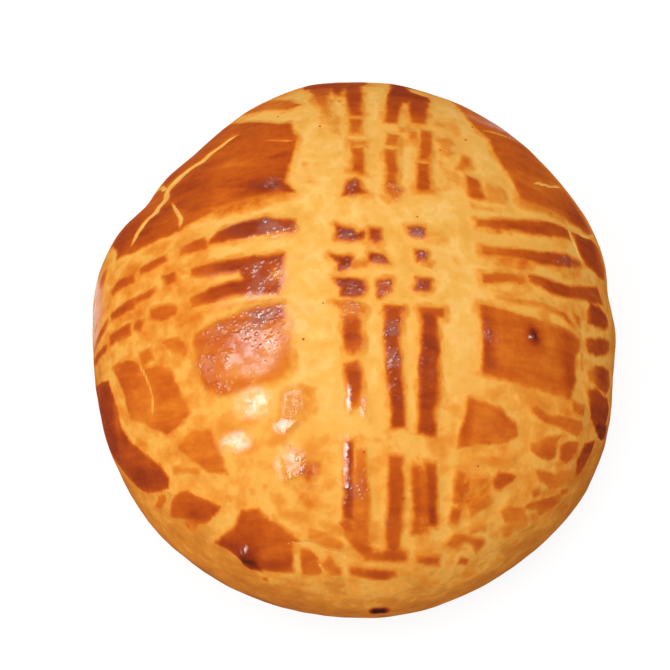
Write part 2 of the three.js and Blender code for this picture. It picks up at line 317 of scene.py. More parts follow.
# Plates of glaze between the fork marks and round the back: how dark each one baked,
# how softly it fades out at its edge in mm, and its corners.
plates = [
    (0.67, 0.8, [
        (-11.8, 35.4), (-10.7, 31.4), (-11.4, 26), (-12.4, 22.8), (-12.9, 21.2), (-10.8, 18.4), (-15, 18.2),
        (-19, 17.5), (-24.7, 16), (-29, 14.4), (-35, 12.2), (-38.7, 11.6), (-45.2, 11.2), (-45.8, 13.6),
        (-47.8, 16.2), (-53.6, 18), (-57, 21), (-53.6, 24), (-51.4, 29), (-48.6, 30), (-48.4, 35),
        (-44, 36.4), (-43.4, 41.6), (-39, 41.4), (-36, 45.8), (-33, 45), (-31.4, 48.6), (-28.4, 46.4),
        (-25.4, 44), (-22.6, 41.2), (-18.8, 39), (-16.4, 37.2), (-14.3, 35.6),
    ]),
    (0.55, 0.8, [
        (-20.5, 43.5), (-16, 41.5), (-12.5, 40), (-9.6, 40.8), (-12.8, 44), (-15, 46.6), (-17.6, 47.4),
        (-18.6, 50.6), (-21.6, 52.6), (-23.4, 50.4), (-22.4, 48), (-22.6, 45.6),
    ]),
    (0.8, 0.8, [
        (-9, 47.6), (-6, 47), (-2, 46.5), (1.8, 47), (3, 48.5), (3, 51.4), (2, 53.6), (0.2, 55.2),
        (-1.6, 53.6), (-3.8, 52), (-5.4, 53.4), (-7.4, 54), (-9, 52.6), (-10, 50.4),
    ]),
    (0.88, 0.8, [
        (7.4, 48.4), (10.4, 47.4), (11, 45.2), (12.8, 44.8), (14.4, 44.2), (14.6, 42.4), (13, 41.4),
        (11.4, 42), (10, 41), (8.4, 42),
    ]),
    (0.8, 0.8, [
        (7.6, 48.2), (10.6, 47.6), (12.8, 49), (13.6, 51.6), (12.8, 54), (10.6, 55.4), (8.6, 53.6),
        (7.2, 51.6),
    ]),
    (0.6, 0.8, [
        (-18.6, 54), (-15.6, 53), (-12.8, 53.8), (-13.4, 55.4), (-15.8, 56), (-16.8, 58.2), (-18.2, 57),
    ]),
    (0.6, 0.8, [
        (20, 44.6), (21.5, 40), (22.6, 36.6), (25.4, 34), (26.8, 30), (28.5, 26), (30.4, 22.4), (31, 19.6),
        (36, 19), (41, 18.2), (47, 18.6), (53, 20.6), (52, 23.6), (54, 26.4), (49.4, 29), (49, 33.8),
        (44.6, 35.4), (44.4, 40.4), (39.6, 41), (37.6, 46), (32.4, 46.4), (30, 51.4), (26, 50), (23, 54.4),
        (20, 52.6), (18.8, 48),
    ]),
    (0.8, 0.7, [(41.8, 16.4), (43.1, 12.6), (45.6, 10.5), (49.4, 9.8), (52.6, 10.6), (53, 18), (48, 18)]),
    (0.65, 0.8, [(21, 23.6), (21.6, 18.4), (25.6, 18.5), (22.9, 23)]),
    (0.34, 0.8, [(25.2, 18.2), (28.6, 18.2), (27.2, 21.2), (24.6, 22.2)]),
    (0.46, 0.9, [(19.2, 24.6), (20.6, 24.2), (21.8, 25.6), (21.6, 27.4), (20.4, 28.2), (20, 26.4)]),
    (0.82, 1.2, [
        (-1.3, 20.6), (0.2, 21.2), (1.3, 20.4), (1.6, 18.6), (2.6, 17.4), (0, 17.1), (-2.2, 17),
        (-1.8, 18.4),
    ]),
    (0.6, 1.2, [(5.6, 19.4), (8.2, 19.2), (9.2, 18.2), (8.4, 16.6), (7, 16.2), (5.8, 17.4)]),
    (0.92, 1.1, [
        (-3.2, 10.9), (-1.8, 10.2), (-0.2, 9.8), (0.4, 8.9), (2, 9.1), (2, 7.8), (-0.5, 7.5), (-3.5, 7.7),
        (-2.9, 9.2),
    ]),
    (0.82, 1.1, [(2.9, 10), (5.3, 9.7), (5.6, 7.6), (4.6, 6.8), (3, 7.4)]),
    (0.9, 1.1, [(10, 10.3), (12, 10.6), (13.6, 10.2), (13.4, 8.5), (10.6, 8.4)]),
    (0.22, 0.7, [(13.4, 9.8), (16.6, 9.8), (16.4, 8.4), (13.4, 8.2)]),
    (0.9, 1.1, [(-4.5, 4.6), (-2.8, 4.2), (-1, 4.6), (-0.1, 4), (0, 2), (-1, 1.6), (-2.8, 1.2), (-3, 2.8)]),
    (0.45, 0.8, [(-0.4, 3), (2.9, 3), (2.9, 1.6), (-0.4, 1.4)]),
    (0.82, 1.1, [(3, 4.7), (5.5, 4.6), (6.9, 2.6), (5, 2.4), (2.8, 2.6)]),
    (0.86, 1.1, [(11.2, 5.6), (13.7, 5.5), (13.9, 3.3), (11.7, 3)]),
    (0.3, 0.6, [(12.6, 3.6), (15, 3.4), (14.6, 2.2), (12.6, 2.4)]),
    (0.88, 1.1, [
        (-4, -0.3), (-2.5, -0.4), (0, -0.5), (2.2, -0.7), (2.4, -2.5), (1.9, -3.9), (0, -4.4), (-2.4, -4.3),
        (-2.3, -2.5), (-3.3, -1.5),
    ]),
    (0.72, 1.1, [(4.1, -0.9), (6.8, -0.7), (7.1, -3), (5.8, -3.4), (4.9, -4.6), (4.3, -4.6)]),
    (0.82, 1.1, [(11.2, 0), (14.4, 0), (14, -2.4), (11, -2.3), (11.6, -1.2)]),
    (0.5, 0.8, [(-4, -5), (0.5, -5.2), (2.3, -6.5), (1.5, -7.8), (-2, -7.6)]),
    (0.8, 0.8, [
        (-21.5, 4.5), (-14, 4.7), (-13, 3.6), (-13, 0), (-13.8, -3.2), (-17, -2.8), (-21, -2.4),
        (-20.4, 0.5),
    ]),
    (0.54, 0.8, [
        (22.9, -4.3), (29, -4.8), (34.1, -5.1), (39.2, -5.4), (42.2, -6.2), (42.2, -8.4), (40.8, -10.4),
        (40.7, -14.6), (39, -18.4), (34.6, -18.4), (30.6, -18), (27.4, -17.5), (22.9, -16.8), (23.3, -10.8),
    ]),
    (0.54, 0.8, [
        (20.3, -21.2), (26, -22.2), (27, -23.5), (28.7, -24.3), (28.9, -26.5), (27, -27.9), (22, -28.6),
        (18.2, -29.8),
    ]),
    (0.8, 0.7, [
        (45.6, 1.8), (48.6, 2.6), (51.5, 1.6), (52, -0.4), (50, -1.8), (47, -2.4), (44.6, -2.6), (44.4, -1),
    ]),
    (0.55, 0.8, [(41.2, -1.5), (43, -2), (42.8, -4.2), (41.8, -3.8)]),
    (0.75, 0.7, [
        (44, -5.6), (47, -4.8), (50, -3.6), (52.4, -3), (52.4, -5.4), (49.5, -7.4), (47, -8.2),
        (44.6, -8.4), (43.6, -7),
    ]),
    (0.7, 0.7, [
        (43.8, -12.4), (46.5, -10.4), (50, -9.4), (52.6, -9.4), (52.4, -12.6), (49.5, -14.6), (46.5, -14.6),
        (44.2, -14),
    ]),
    (0.84, 0.7, [
        (43, -15.7), (46, -15.1), (50.4, -15.4), (51.6, -17.2), (50, -20.4), (46.8, -21), (44.2, -20.6),
    ]),
    (1.05, 0.7, [(45.2, -20.8), (48, -20.3), (51, -20.6), (51, -22.8), (48.6, -23.6), (46.6, -22.4)]),
    (0.55, 0.8, [(39.2, -18.4), (42.4, -18.2), (42, -20.6), (39.4, -20.3)]),
    (0.56, 0.7, [
        (31.4, -20.8), (33, -20.6), (34.4, -21.6), (38, -21.4), (41.5, -21.3), (41.9, -22.6), (40.5, -24.3),
        (38, -23.9), (34, -23.3), (31.8, -22.3),
    ]),
    (0.42, 1.0, [(29.4, -19.2), (33.2, -20.2), (32.4, -22), (30.2, -20.8)]),
    (0.86, 0.7, [
        (42.6, -24.8), (46.4, -24), (45.6, -26.6), (44.2, -29.2), (43, -31.2), (41.5, -30.6), (41.4, -28),
    ]),
    (0.52, 0.7, [
        (31.5, -27), (33, -25.8), (36, -24.9), (37.5, -24.7), (36.6, -26.2), (36.4, -28.6), (35, -29.5),
        (33, -28.9), (31.6, -28.1),
    ]),
    (0.57, 0.7, [
        (37.4, -26.6), (39, -25.5), (41.2, -24.9), (41.2, -26.8), (40.4, -28.4), (38.8, -29.6),
        (37.2, -28.9),
    ]),
    (0.66, 0.8, [(24.4, -33.7), (26, -32.6), (28.5, -32.7), (27.2, -34.6), (26, -35.7), (24.7, -35.3)]),
    (0.5, 0.7, [
        (25.8, -38.7), (27.5, -37.3), (30.5, -37.5), (31.4, -38.7), (32.7, -39.4), (32.5, -41), (31, -42),
        (29.4, -41.7), (29, -43.2), (27.4, -42.9), (27, -41.4), (28.4, -40.7), (26.8, -40.1),
    ]),
    (0.54, 0.7, [
        (31, -37.4), (33, -36), (35.5, -35.7), (38, -34.7), (39.5, -34.8), (39.9, -36.3), (38, -37.4),
        (36, -38.8), (34.8, -39.3), (33.6, -38), (31.8, -37.9),
    ]),
    (0.48, 0.7, [
        (32.4, -31), (36, -31.2), (38.5, -30.3), (41.4, -29.9), (43, -31.1), (42.5, -32.6), (39, -33.1),
        (35.4, -33.8), (33.5, -33.2), (32.5, -32.2),
    ]),
    (0.55, 0.7, [
        (16.3, -44.7), (18, -42.7), (19.5, -42.2), (21, -42.8), (24, -43.3), (24.3, -44.4), (22.6, -46.2),
        (21.6, -44.9), (20, -44.1), (18.5, -45.3),
    ]),
    (0.58, 0.7, [(-9.5, -45.5), (-7.6, -45.8), (-6.2, -47), (-5.6, -49.4), (-6.4, -50.4), (-9.4, -49.9)]),
    (0.5, 0.8, [(-36.5, -8.5), (-32, -8.4), (-30, -11.5), (-30.4, -12.8), (-33, -11.6)]),
    (0.5, 0.8, [(-40.6, -9.2), (-37.6, -9.2), (-36.6, -11.6), (-39.4, -12.2)]),
    (0.58, 0.8, [
        (-46.6, -10.6), (-45, -10.2), (-42, -10.5), (-40, -11.8), (-38.4, -12.9), (-36, -12.7),
        (-33.5, -14), (-31.5, -18), (-29.2, -22.3), (-30, -24), (-33.5, -25.8), (-36, -24.7), (-38.5, -23),
        (-42, -21.8), (-42.7, -17), (-44, -14.5),
    ]),
    (0.82, 0.6, [
        (-57, -10.8), (-52, -12), (-48, -13), (-46.5, -16), (-44.8, -19.5), (-44.5, -22), (-42, -25),
        (-38.5, -28), (-35.5, -30), (-33.5, -32.5), (-33.5, -34), (-36, -34.7), (-39.5, -35.2),
        (-43, -33.2), (-46, -31), (-50, -28.5), (-54, -23), (-57, -16),
    ]),
    (0.53, 1.3, [
        (-29.3, -9), (-25, -6.8), (-18, -5.2), (-15.5, -5.4), (-15.5, -17), (-19, -20), (-23.5, -20.8),
        (-26.5, -19), (-28.8, -15), (-29.2, -11.5),
    ]),
    (0.44, 1.7, [
        (-17, -5.2), (-12.8, -5.2), (-12.2, -8), (-11.4, -12), (-11, -17), (-13.5, -19.4), (-18, -20),
    ]),
    (0.26, 1.0, [(-12.4, -21), (-9.4, -21), (-9, -26), (-12, -27.4), (-13.4, -26)]),
    (0.26, 1.2, [(-12.4, -31), (-9, -31), (-8.4, -34.4), (-11.6, -35.4)]),
    (0.5, 2.2, [
        (-33, 17.6), (-26, 18.6), (-18, 19.4), (-12.8, 20.4), (-12.4, 17.6), (-20, 16.2), (-33, 14.9),
    ]),
    (0.42, 1.4, [(31.4, 20.4), (41, 19.2), (40.6, 17.4), (31.6, 17.6)]),
    (0.52, 0.9, [
        (-32.2, -28), (-29, -25.2), (-25, -25.6), (-24, -28.5), (-21.8, -33.3), (-26, -32.4), (-28, -31),
        (-31, -29),
    ]),
    (0.69, 0.6, [
        (-35, -39.6), (-33, -36), (-31.5, -34.8), (-29, -35.8), (-23.6, -38), (-27, -40.8), (-29.8, -41),
        (-31.5, -40),
    ]),
    (0.58, 0.6, [(-38.8, -37.7), (-36.6, -35.6), (-34.6, -35), (-34.6, -36.2), (-36.4, -37.8)]),
    (0.65, 0.8, [
        (-26, -44.2), (-22, -41.6), (-19.8, -39), (-17, -38.8), (-15.6, -40.3), (-12, -42), (-9.6, -44.3),
        (-10.8, -45), (-11, -49.6), (-14, -49.6), (-17.4, -49.5), (-20.6, -47.4), (-22, -46.2),
    ]),
    (0.9, 0.6, [
        (-20.6, -45.8), (-18, -45.4), (-16.6, -47.4), (-17, -49.9), (-19.2, -49.6), (-20.8, -47.8),
    ]),
]

# Splits that run through plates and ridges, paler and narrower than the fork marks, as points
# (right, back, half width, how far open). A hair split has a half width just below zero.
splits = [
    [(-21.4, 36.9, -0.05, 1), (-24, 36.2, 0.1, 1), (-25.8, 34.9, 0.25, 1), (-28, 33.7, 0.3, 1),
     (-29.8, 31.9, 0.55, 1), (-32.4, 30.5, 0.55, 1), (-34.6, 28.8, 0.8, 1), (-36.6, 27.8, 0.75, 1),
     (-37.3, 26.4, 0.5, 1), (-36.9, 24.6, 0.5, 1), (-38, 22.4, 0.35, 1), (-38.3, 20.6, 0.45, 1),
     (-39.8, 18.8, 0.25, 1), (-40.6, 16.2, 0.3, 1), (-42.5, 12.5, 0, 1)],
    [(-37, 27.8, 0.35, 1), (-38.6, 29, 0.35, 1), (-39.8, 30.8, 0.2, 1), (-42.2, 32, 0.1, 1),
     (-43.4, 34.2, -0.15, 0.9)],
    [(-41.8, 31.9, -0.1, 0.9), (-44.4, 30.6, -0.15, 0.9), (-46.6, 31.4, -0.25, 0.8)],
    [(29, 50, 0.1, 1), (30.4, 46.6, 0, 1), (33, 44.2, -0.2, 0.8)],
    [(46, 33.6, 0.15, 1), (44.4, 31.8, 0, 1), (44.2, 29.6, -0.2, 0.8)],
    [(-35.7, 22.9, 0, 1), (-34.5, 20, -0.02, 1), (-32.4, 16, 0.08, 1), (-32.2, 13.2, 0.15, 0.9)],
    [(-18.6, 32.2, -0.1, 0.3), (-15, 31.8, 0, 0.5), (-12, 31, 0, 0.6), (-10.2, 30.6, 0, 0.7)],
    [(23, 36.2, 0.05, 0.62), (27, 36.8, 0.1, 0.68), (30, 37.4, 0.1, 0.7), (34, 38.6, 0.06, 0.62)],
    [(33.2, 24.4, 0, 0.7), (35, 25.6, 0.15, 0.95), (38, 26.3, 0.1, 0.95), (42, 29.5, 0.05, 0.85)],
    [(41.5, 17, 0.18, 1), (45, 17.2, 0.08, 1), (48, 19.3, 0.03, 1), (51, 22, 0.03, 1)],
    [(40.8, 17.5, 0.05, 1), (42, 14.3, 0.1, 1), (43.4, 11.7, 0.1, 1), (45.2, 10, 0.05, 1)],
    [(-40.5, -11, 0.04, 0.8), (-38, -15, 0.02, 0.66), (-36.9, -18, 0, 0.64), (-36.6, -22.8, 0, 0.62)],
    [(5.4, 28.5, -0.1, 0.9), (9.2, 28.5, -0.15, 0.9)],
    [(11.4, 25.6, -0.12, 0.8), (14.8, 25.2, -0.12, 0.9)],
    [(-17, -46.6, -0.3, 0.5), (-14, -45.2, -0.25, 0.65), (-10.6, -44.6, -0.1, 0.75), (-7, -45, -0.1, 0.7),
     (-4, -46.2, -0.1, 0.65), (-1.6, -47.3, 0, 0.7), (0, -47, 0, 0.6)],
    [(-7.2, -46.4, -0.2, 0.8), (-5.7, -48.8, -0.05, 0.8), (-5, -50.6, 0, 0.8)],
]

# Where the egg lay thin, or ran down: a stain with no edge of its own, and one patch of painted shade at
# the lower right edge. How strong, how soft in mm, and its corners.
thin_egg = [
    (0.37, 1.4, [(17.4, -33.4), (24, -32.8), (25.8, -34.6), (22, -37.6), (18.6, -40.8), (17, -40.6)]),
    (0.26, 1.6, [
        (30.6, -19.4), (41.5, -19), (46, -24), (45.5, -31), (42, -37), (36, -41), (33, -42.5), (25, -38),
        (30, -33), (31.6, -30), (31, -24),
    ]),
    (0.18, 2.0, [
        (15.6, -31), (29, -30), (30, -19.6), (41, -19.6), (46, -24), (45, -32), (40, -38.5), (32, -44),
        (24, -47), (12, -49.5), (0, -51.2), (-10, -50.6), (-10, -45), (2, -47.5), (10, -47.5), (15, -46),
    ]),
    (0.14, 1.4, [(42, 0), (51, 6), (52, -8), (51, -20), (44, -20), (42.5, -8)]),
    (0.34, 1.6, [(-12, -32), (-5.4, -32), (-4.6, -38), (-6, -40.6), (-8.6, -39.8), (-11, -37)]),
    (0.26, 1.4, [(-10.5, -20.5), (-6.5, -20), (-6.5, -25.5), (-10, -26)]),
    (0.17, 2.0, [(14.6, 38), (20, 39), (22, 26), (20.5, 20), (15.5, 19)]),
    (0.25, 2.5, [(-27, 13), (-60, 10), (-60, -12), (-25, -36), (-26.5, -20), (-26.5, -6)]),
    (0.12, 2.5, [
        (-48, -31), (-40, -37), (-34, -43), (-27, -46.5), (-20, -51), (-17, -54), (-26, -53), (-36, -47.5),
        (-46, -38),
    ]),
    # Painted shade along the lower right edge of the dome, darkening it like a stain.
    (0.24, 1.5, [(47.4, -22), (52, -20), (52, -30), (46, -37), (44.4, -32.4), (47, -26)]),
    (0.36, 1.6, [(-33, 18.5), (-13, 20.5), (-12, 16.8), (-20, 15.2), (-30, 13.4)]),
    (0.34, 1.2, [(30.6, 20), (41, 19), (40.6, 17.2), (31, 17.2)]),
    (0.3, 1.2, [(24, 6.4), (44, 8.6), (46, 8.0), (41, 5), (32, 4), (24, 4.4)]),
    (0.22, 1.2, [(30, 1), (40, 0.8), (41, -2), (32, -2)]),
    (0.32, 0.9, [(22.8, 12.4), (30, 13), (31, 11.6), (23.4, 10.9)]),
    (0.2, 1.4, [(-36, -5), (-32, -4), (-31.6, -8), (-36, -8.6)]),
    (0.3, 1.2, [(21.6, 17.8), (28.6, 18), (28, 15.8), (22.2, 15.8)]),
    (0.2, 1.6, [(-34, -3.5), (-29, -2), (-13, -3.5), (-13, -5), (-26, -6)]),
    (0.3, 0.8, [(0, -30.5), (2.6, -31), (3, -44), (0, -44)]),
    (0.2, 1.2, [(9, -33), (15.4, -31.6), (15.6, -44), (9.4, -45)]),
    (0.3, 1.0, [(-35, -30.5), (-37, -26.8), (-42, -22.5), (-45.8, -15), (-44.4, -22), (-40, -27.4)]),
]

# Places inside a plate that baked darker or stayed lighter: right, back, reach both ways
# in mm, and the change of tone.
accents = [
    (24.0, -11, 1.4, 6.5, 0.32), (39.3, -10.5, 2.0, 5.5, 0.24), (39.4, -15, 1.4, 2.6, 0.14),
    (30, -13, 3, 5, 0.03), (-16.6, 20.4, 6, 2.6, 0.24), (-33, 24, 3.5, 4, 0.12), (-40, 16, 5, 2.5, 0.14),
    (-24, 20, 3.5, 2.5, -0.08), (-22, 30, 6, 5, -0.04), (-30, 25, 4, 3, 0.06),
    (-18.8, 33.8, 1.4, 1.2, 0.08), (-14, 27.6, 1.6, 0.5, 0.14), (-13.4, 24.2, 1.2, 0.4, 0.1),
    (-40, 25, 2, 2.5, -0.08), (-11.8, 18.6, 1.6, 0.8, 0.16), (-47, 17, 3, 3, 0.1), (44, 21, 4, 4, 0.22),
    (33, 32, 4, 5, 0.06), (30, 23, 3, 1.4, 0.1), (30, 40, 6, 3, 0.06), (-50, -22, 4, 8, 0.1),
    (-41, -31, 3, 2, 0.08), (-45.5, -20, 1.2, 4, -0.2), (-38, -29.5, 2.4, 1.4, -0.16),
    (-29.5, -39, 2, 1.4, 0.16), (-23.4, -45, 3, 1.4, 0.24), (-14, -43.5, 3, 1.5, -0.04),
    (-13.5, -48.4, 3.4, 1, 0.12), (19.6, -25.5, 1.1, 4, 0.2), (24.5, -25.5, 2.4, 2, -0.05),
    (26.5, -23.4, 1.4, 1, 0.08), (-43, -15, 2.2, 4, 0.06), (-31, -22.5, 2, 2, -0.08),
    (-26, -16, 2, 4, 0.06), (-13.5, -6.5, 1.4, 1.4, 0.2), (-19, -17, 5, 3, -0.12), (49, -5, 2, 2, 0.12),
    (42.8, -17.4, 1.3, 1.6, -0.22), (44, -6.8, 1.5, 1.5, -0.12), (34.5, -27.8, 1.6, 1.2, 0.08),
    (32.6, -8.6, 1.3, 1.6, 0.6), (-14.2, 0.9, 1.3, 1.4, -0.5), (-15.5, -7, 2.6, 1.7, 0.26),
    (-19.1, -46.6, 2.3, 2.3, 0.36), (-15, -48.6, 2.4, 0.8, 0.14), (13.9, -40.8, 0.7, 1.2, 0.2),
    (48.8, -12, 2, 1.6, 0.2), (44.6, -12.6, 1.4, 1.6, -0.2), (-35, 20.5, 2.5, 2.5, 0.14),
    (44.6, -1.6, 1.2, 1.2, -0.24), (48, 15, 3, 2, 0.1),
]

# All pieces go into one map of the crust: how far a place is inside the nearest edge, how dark
# the egg baked and how softly it ends. The egg ran out a little past the marks, each piece is
# paler at its rim, and pieces that meet blend into each other.
ridge_ran_out = 0.32
plate_ran_out = 0.2
ridge_rim_tone = 0.74
plate_rim_tone = 0.84
blend_width = 0.35
blend_reach = (-6.0, 2.0)
glaze_edge = np.full(len(places), -far_away)
tone_sum = np.zeros(len(places))
soft_sum = np.zeros(len(places))
weight_sum = np.full(len(places), 1e-12)
for soft, strokes in [(1.0, ridges_down), (0.95, ridges_across), (0.8, scraps)]:
    for path in strokes:
        depth, tone = stroke(path)
        depth += ridge_ran_out
        tone *= ridge_rim_tone + (1.0 - ridge_rim_tone) * ease(-0.3, 1.1, depth)
        weight = np.exp(np.clip(depth, *blend_reach) / blend_width)
        glaze_edge = np.maximum(glaze_edge, depth)
        tone_sum += weight * tone
        soft_sum += weight * soft
        weight_sum += weight
for tone, soft, corners in plates:
    depth = plate_depth(corners) + plate_ran_out
    tone = tone * (plate_rim_tone + (1.0 - plate_rim_tone) * ease(-0.3, 1.0, depth))
    weight = np.exp(np.clip(depth, *blend_reach) / blend_width)
    glaze_edge = np.maximum(glaze_edge, depth)
    tone_sum += weight * tone
    soft_sum += weight * soft
    weight_sum += weight
glaze_tone = tone_sum / weight_sum
glaze_soft = np.clip(soft_sum / weight_sum, 0.3, 2.0)
for x, y, reach_x, reach_y, change in accents:
    away = ((places[:, 0] - x) / reach_x) ** 2 + ((places[:, 1] - y) / reach_y) ** 2
    glaze_tone += change * np.exp(-away)

# Low at the back the brush was nearly dry, so the glaze grows paler there and ends softly.
dry_brush_paler = 0.68
dry_brush_softer = 1.6
dry_brush = ease(49.0, 56.0, from_crown) * ease(6.0, 20.0, places[:, 1])
glaze_tone *= 1.0 - dry_brush_paler * dry_brush
glaze_soft += dry_brush_softer * dry_brush
edge_limit = 9.0
glaze_edge = np.where(on_base, -edge_limit, np.clip(glaze_edge, -edge_limit, edge_limit))

# A split closes towards its two tips, and the egg close beside it is a little paler.
split_bank = 0.34
paler_reach = 0.9
paler_beside = 0.14
split_open = np.zeros(len(places))
for path in splits:
    depth, share = stroke(path)
    ends = np.array([path[0][:2], path[-1][:2]])
    tip = np.hypot(*(shaken[:, None] - ends).T).min(axis=0)
    share = share * ease(-1.0, 2.5, tip)
    past_edge = np.minimum(depth, 0.0)
    split_open = np.maximum(split_open, share * np.exp(-((past_edge / split_bank) ** 2)))
    beside = share * np.exp(-((past_edge / paler_reach) ** 2))
    glaze_tone -= paler_beside * beside * glaze_tone

# Besides these stains, a faint rim of egg goes round below the plates, and a fainter wash
# covers the dome, most of it towards the front.
rim_strength = 0.2
wash_strength = 0.19
wash_lost_at_back = 0.75
wash_and_shade = np.zeros(len(places))
for strength, soft, corners in thin_egg:
    wash_and_shade = np.maximum(wash_and_shade, strength * ease(-soft, soft, plate_depth(corners)))
lower_rim = ease(43.0, 51.0, from_crown) * (1.0 - ease(55.0, 63.0, from_crown))
wash_and_shade = np.maximum(wash_and_shade, rim_strength * lower_rim)
towards_front = 1.0 - wash_lost_at_back * ease(0.0, 26.0, places[:, 1])
round_dome = ease(16.0, 36.0, from_crown) * (1.0 - ease(44.0, 52.0, from_crown))
wash_and_shade = np.maximum(wash_and_shade, wash_strength * towards_front * round_dome)

# Two parts of the side are darker higher up: the front left browned higher, and at the front right the
# darkening is painted shade at the edge of the dome. Bearing and spread in degrees, and how much higher in
# mm.
browned_and_shaded_sides = [(-122, 22, 3.2), (-28, 12, 4.2)]
browned_higher = np.zeros(len(places))
for middle, spread, rise in browned_and_shaded_sides:
    away = (bearing - middle + 180.0) % 360.0 - 180.0
    browned_higher += rise * MM * np.exp(-((away / spread) ** 2))

# Where the egg stayed thick and glossy: right, back, reach both ways in mm, and how strongly.
# A spot's gloss is even in its middle and drops quickly at its rim.
gloss_drop = 2.5
gloss_spots = [
    (-18.6, -13, 5.4, 4.4, 0.75), (-16, -8, 4, 4, 0.5), (-25, -12, 4, 6, 0.12), (-17, 1, 5, 4.5, 0.4),
    (-17, 11, 7, 2.4, 0.4), (-24, 3, 4, 2, 0.12), (-1.5, 8.8, 2.6, 2, 0.08), (4.2, 8.4, 1.8, 1.8, 0.05),
    (12, 9.5, 2.2, 1.6, 0.12), (-1.5, 3, 2.4, 2, 0.08), (4.8, 3.6, 2, 1.6, 0.08),
    (-0.6, -2.2, 3, 2.2, 0.06), (5.6, -2, 1.8, 2, 0.1), (12.6, -1.2, 2, 1.6, 0.06), (0, 19, 2, 2, 0.14),
    (7.4, 18.6, 2, 1.8, 0.14), (-0.9, -22.6, 0.5, 2.2, 1.0), (1.6, -24, 0.5, 1.6, 0.7),
    (-1.3, -33, 0.5, 5, 0.8), (-0.6, -37, 1.2, 3, 0.15), (5.6, -41.5, 0.7, 0.7, 0.8),
    (25, -25.4, 3, 2.4, 0.1), (-18, -22.4, 3.2, 2.4, 0.54), (-20.7, -28.4, 2.6, 1.6, 0.5),
    (-11.8, -26.6, 2.4, 1.2, 0.54), (-11.0, -32.6, 2.8, 2.8, 0.4), (-11, -23, 1.8, 2.6, 0.4),
    (-17, 21.3, 3, 1.2, 0.3), (-14.4, 19.8, 2, 1.2, 0.2), (32.0, -8.9, 0.35, 0.35, 2.0),
    (-8.4, -35, 2.2, 2.6, 0.12), (-19.5, -45.1, 0.7, 0.5, 2.0), (24.2, -9.5, 0.9, 1.2, 0.15),
    (39, 8.6, 1.6, 1, 0.1), (31, 40.5, 9, 2.4, 0.3), (-53.5, 5, 4.5, 8, 0.5), (-17.5, -8, 8, 7, 0.3),
]
gloss = np.zeros(len(places))
for x, y, reach_x, reach_y, strength in gloss_spots:
    away = ((places[:, 0] - x) / reach_x) ** 2 + ((places[:, 1] - y) / reach_y) ** 2
    gloss = np.maximum(gloss, strength * np.exp(-(away ** gloss_drop)))

# Where it boiled up into small blisters, which also carry a painted sheen: right, back, reach in mm, and
# how thickly they stand.
blister_and_sheen_spots = [
    (-24, -9, 4, 0.6), (-26, -14, 3.5, 0.6), (-24, -18, 2.5, 0.5), (-18, -8, 4.5, 1.0),
    (-14.5, -6.5, 2.5, 1.0), (-16, -12, 3, 0.5), (-16, 1, 4.4, 1.0), (-14.6, 11, 4.2, 1.0),
    (7, -11, 3, 0.9), (7.2, -16, 4, 0.9), (-1, 8.6, 2, 0.8), (-1.4, 3, 2.4, 0.85), (5, 3, 2, 0.75),
    (-0.6, -2.4, 2.4, 0.75), (5.5, -2, 2, 0.8), (-1, -36, 5, 0.6), (24.4, -9.6, 1.6, 0.8),
    (40, 9, 2.5, 0.5), (0, 18.8, 2, 0.8), (7.4, 18, 1.8, 0.9), (-15, 21, 3, 0.6), (12, 9.4, 2, 0.9),
    (12.6, 4.4, 1.6, 0.85), (12.8, -1.2, 1.6, 0.4), (-0.6, -6.4, 2, 0.8), (-9.4, -34.4, 3.4, 0.5),
]
bubbles = np.zeros(len(places))
for x, y, spread, strength in blister_and_sheen_spots:
    away = np.hypot(places[:, 0] - x, places[:, 1] - y) / spread
    bubbles = np.maximum(bubbles, strength * np.exp(-(away ** 2)))

# Relief: the plates stand a little proud of the tine lines and splits, the blisters stand up
# on them, and the bare dough is uneven where it stretched. Heights are in mm.
plate_height = 0.30
swell_height = 0.45
lump_height = 0.16
grain_height = 0.05
blister_height = 0.10
# A hole pricked in the right plate with the egg piled up round it, and a drop of egg at the
# front left: right, back, spread and height in mm.
mounds = [(33.1, -8.3, 0.7, -0.8), (32.8, -8.6, 1.4, 0.5), (32.2, -9.0, 0.7, 0.2), (-19.5, -46.1, 1.5, 1.3)]
covered = ease(-1.1, 0.9, glaze_edge)
opened = ease(0.2, 0.9, split_open)
fade = 1.0 - ease(44.0, 56.0, from_crown)
lift = plate_height * covered * (1.0 - opened) * fade
lift += swell_height * rough(18.0, 5) + lump_height * rough(6.0, 8)
lift += grain_height * rough(2.0, 6)
lift += blister_height * np.abs(rough(1.6, 7)) * covered * bubbles
for x, y, spread, rise in mounds:
    away = np.hypot(places[:, 0] - x, places[:, 1] - y) / spread
    lift += rise * np.exp(-(away ** 2))
flat_below = 3.0 * MM
lift *= ease(0.0, flat_below, points[:, 2])
normals = read_vectors(bun.data.vertex_normals, "vector")
points = points + normals * lift[:, None] * MM
points[:, 2] = np.maximum(points[:, 2], 0.0)
write_points(bun.data, points)

# What the material needs to know of each place.
layers = {
    "glaze_edge": glaze_edge, "glaze_tone": glaze_tone, "glaze_soft": glaze_soft,
    "split_open": split_open, "thin_egg": wash_and_shade, "gloss": gloss, "bubbles": bubbles,
    "browned_higher": browned_higher,
}
for name, values in layers.items():
    layer = bun.data.attributes.new(name, "FLOAT", "POINT")
    layer.data.foreach_set("value", values.astype(np.float32))
layer = bun.data.attributes.new("crust_place", "FLOAT_VECTOR", "POINT")
flat_places = np.column_stack([places, np.zeros(len(places))]).astype(np.float32)
layer.data.foreach_set("vector", flat_places.ravel())

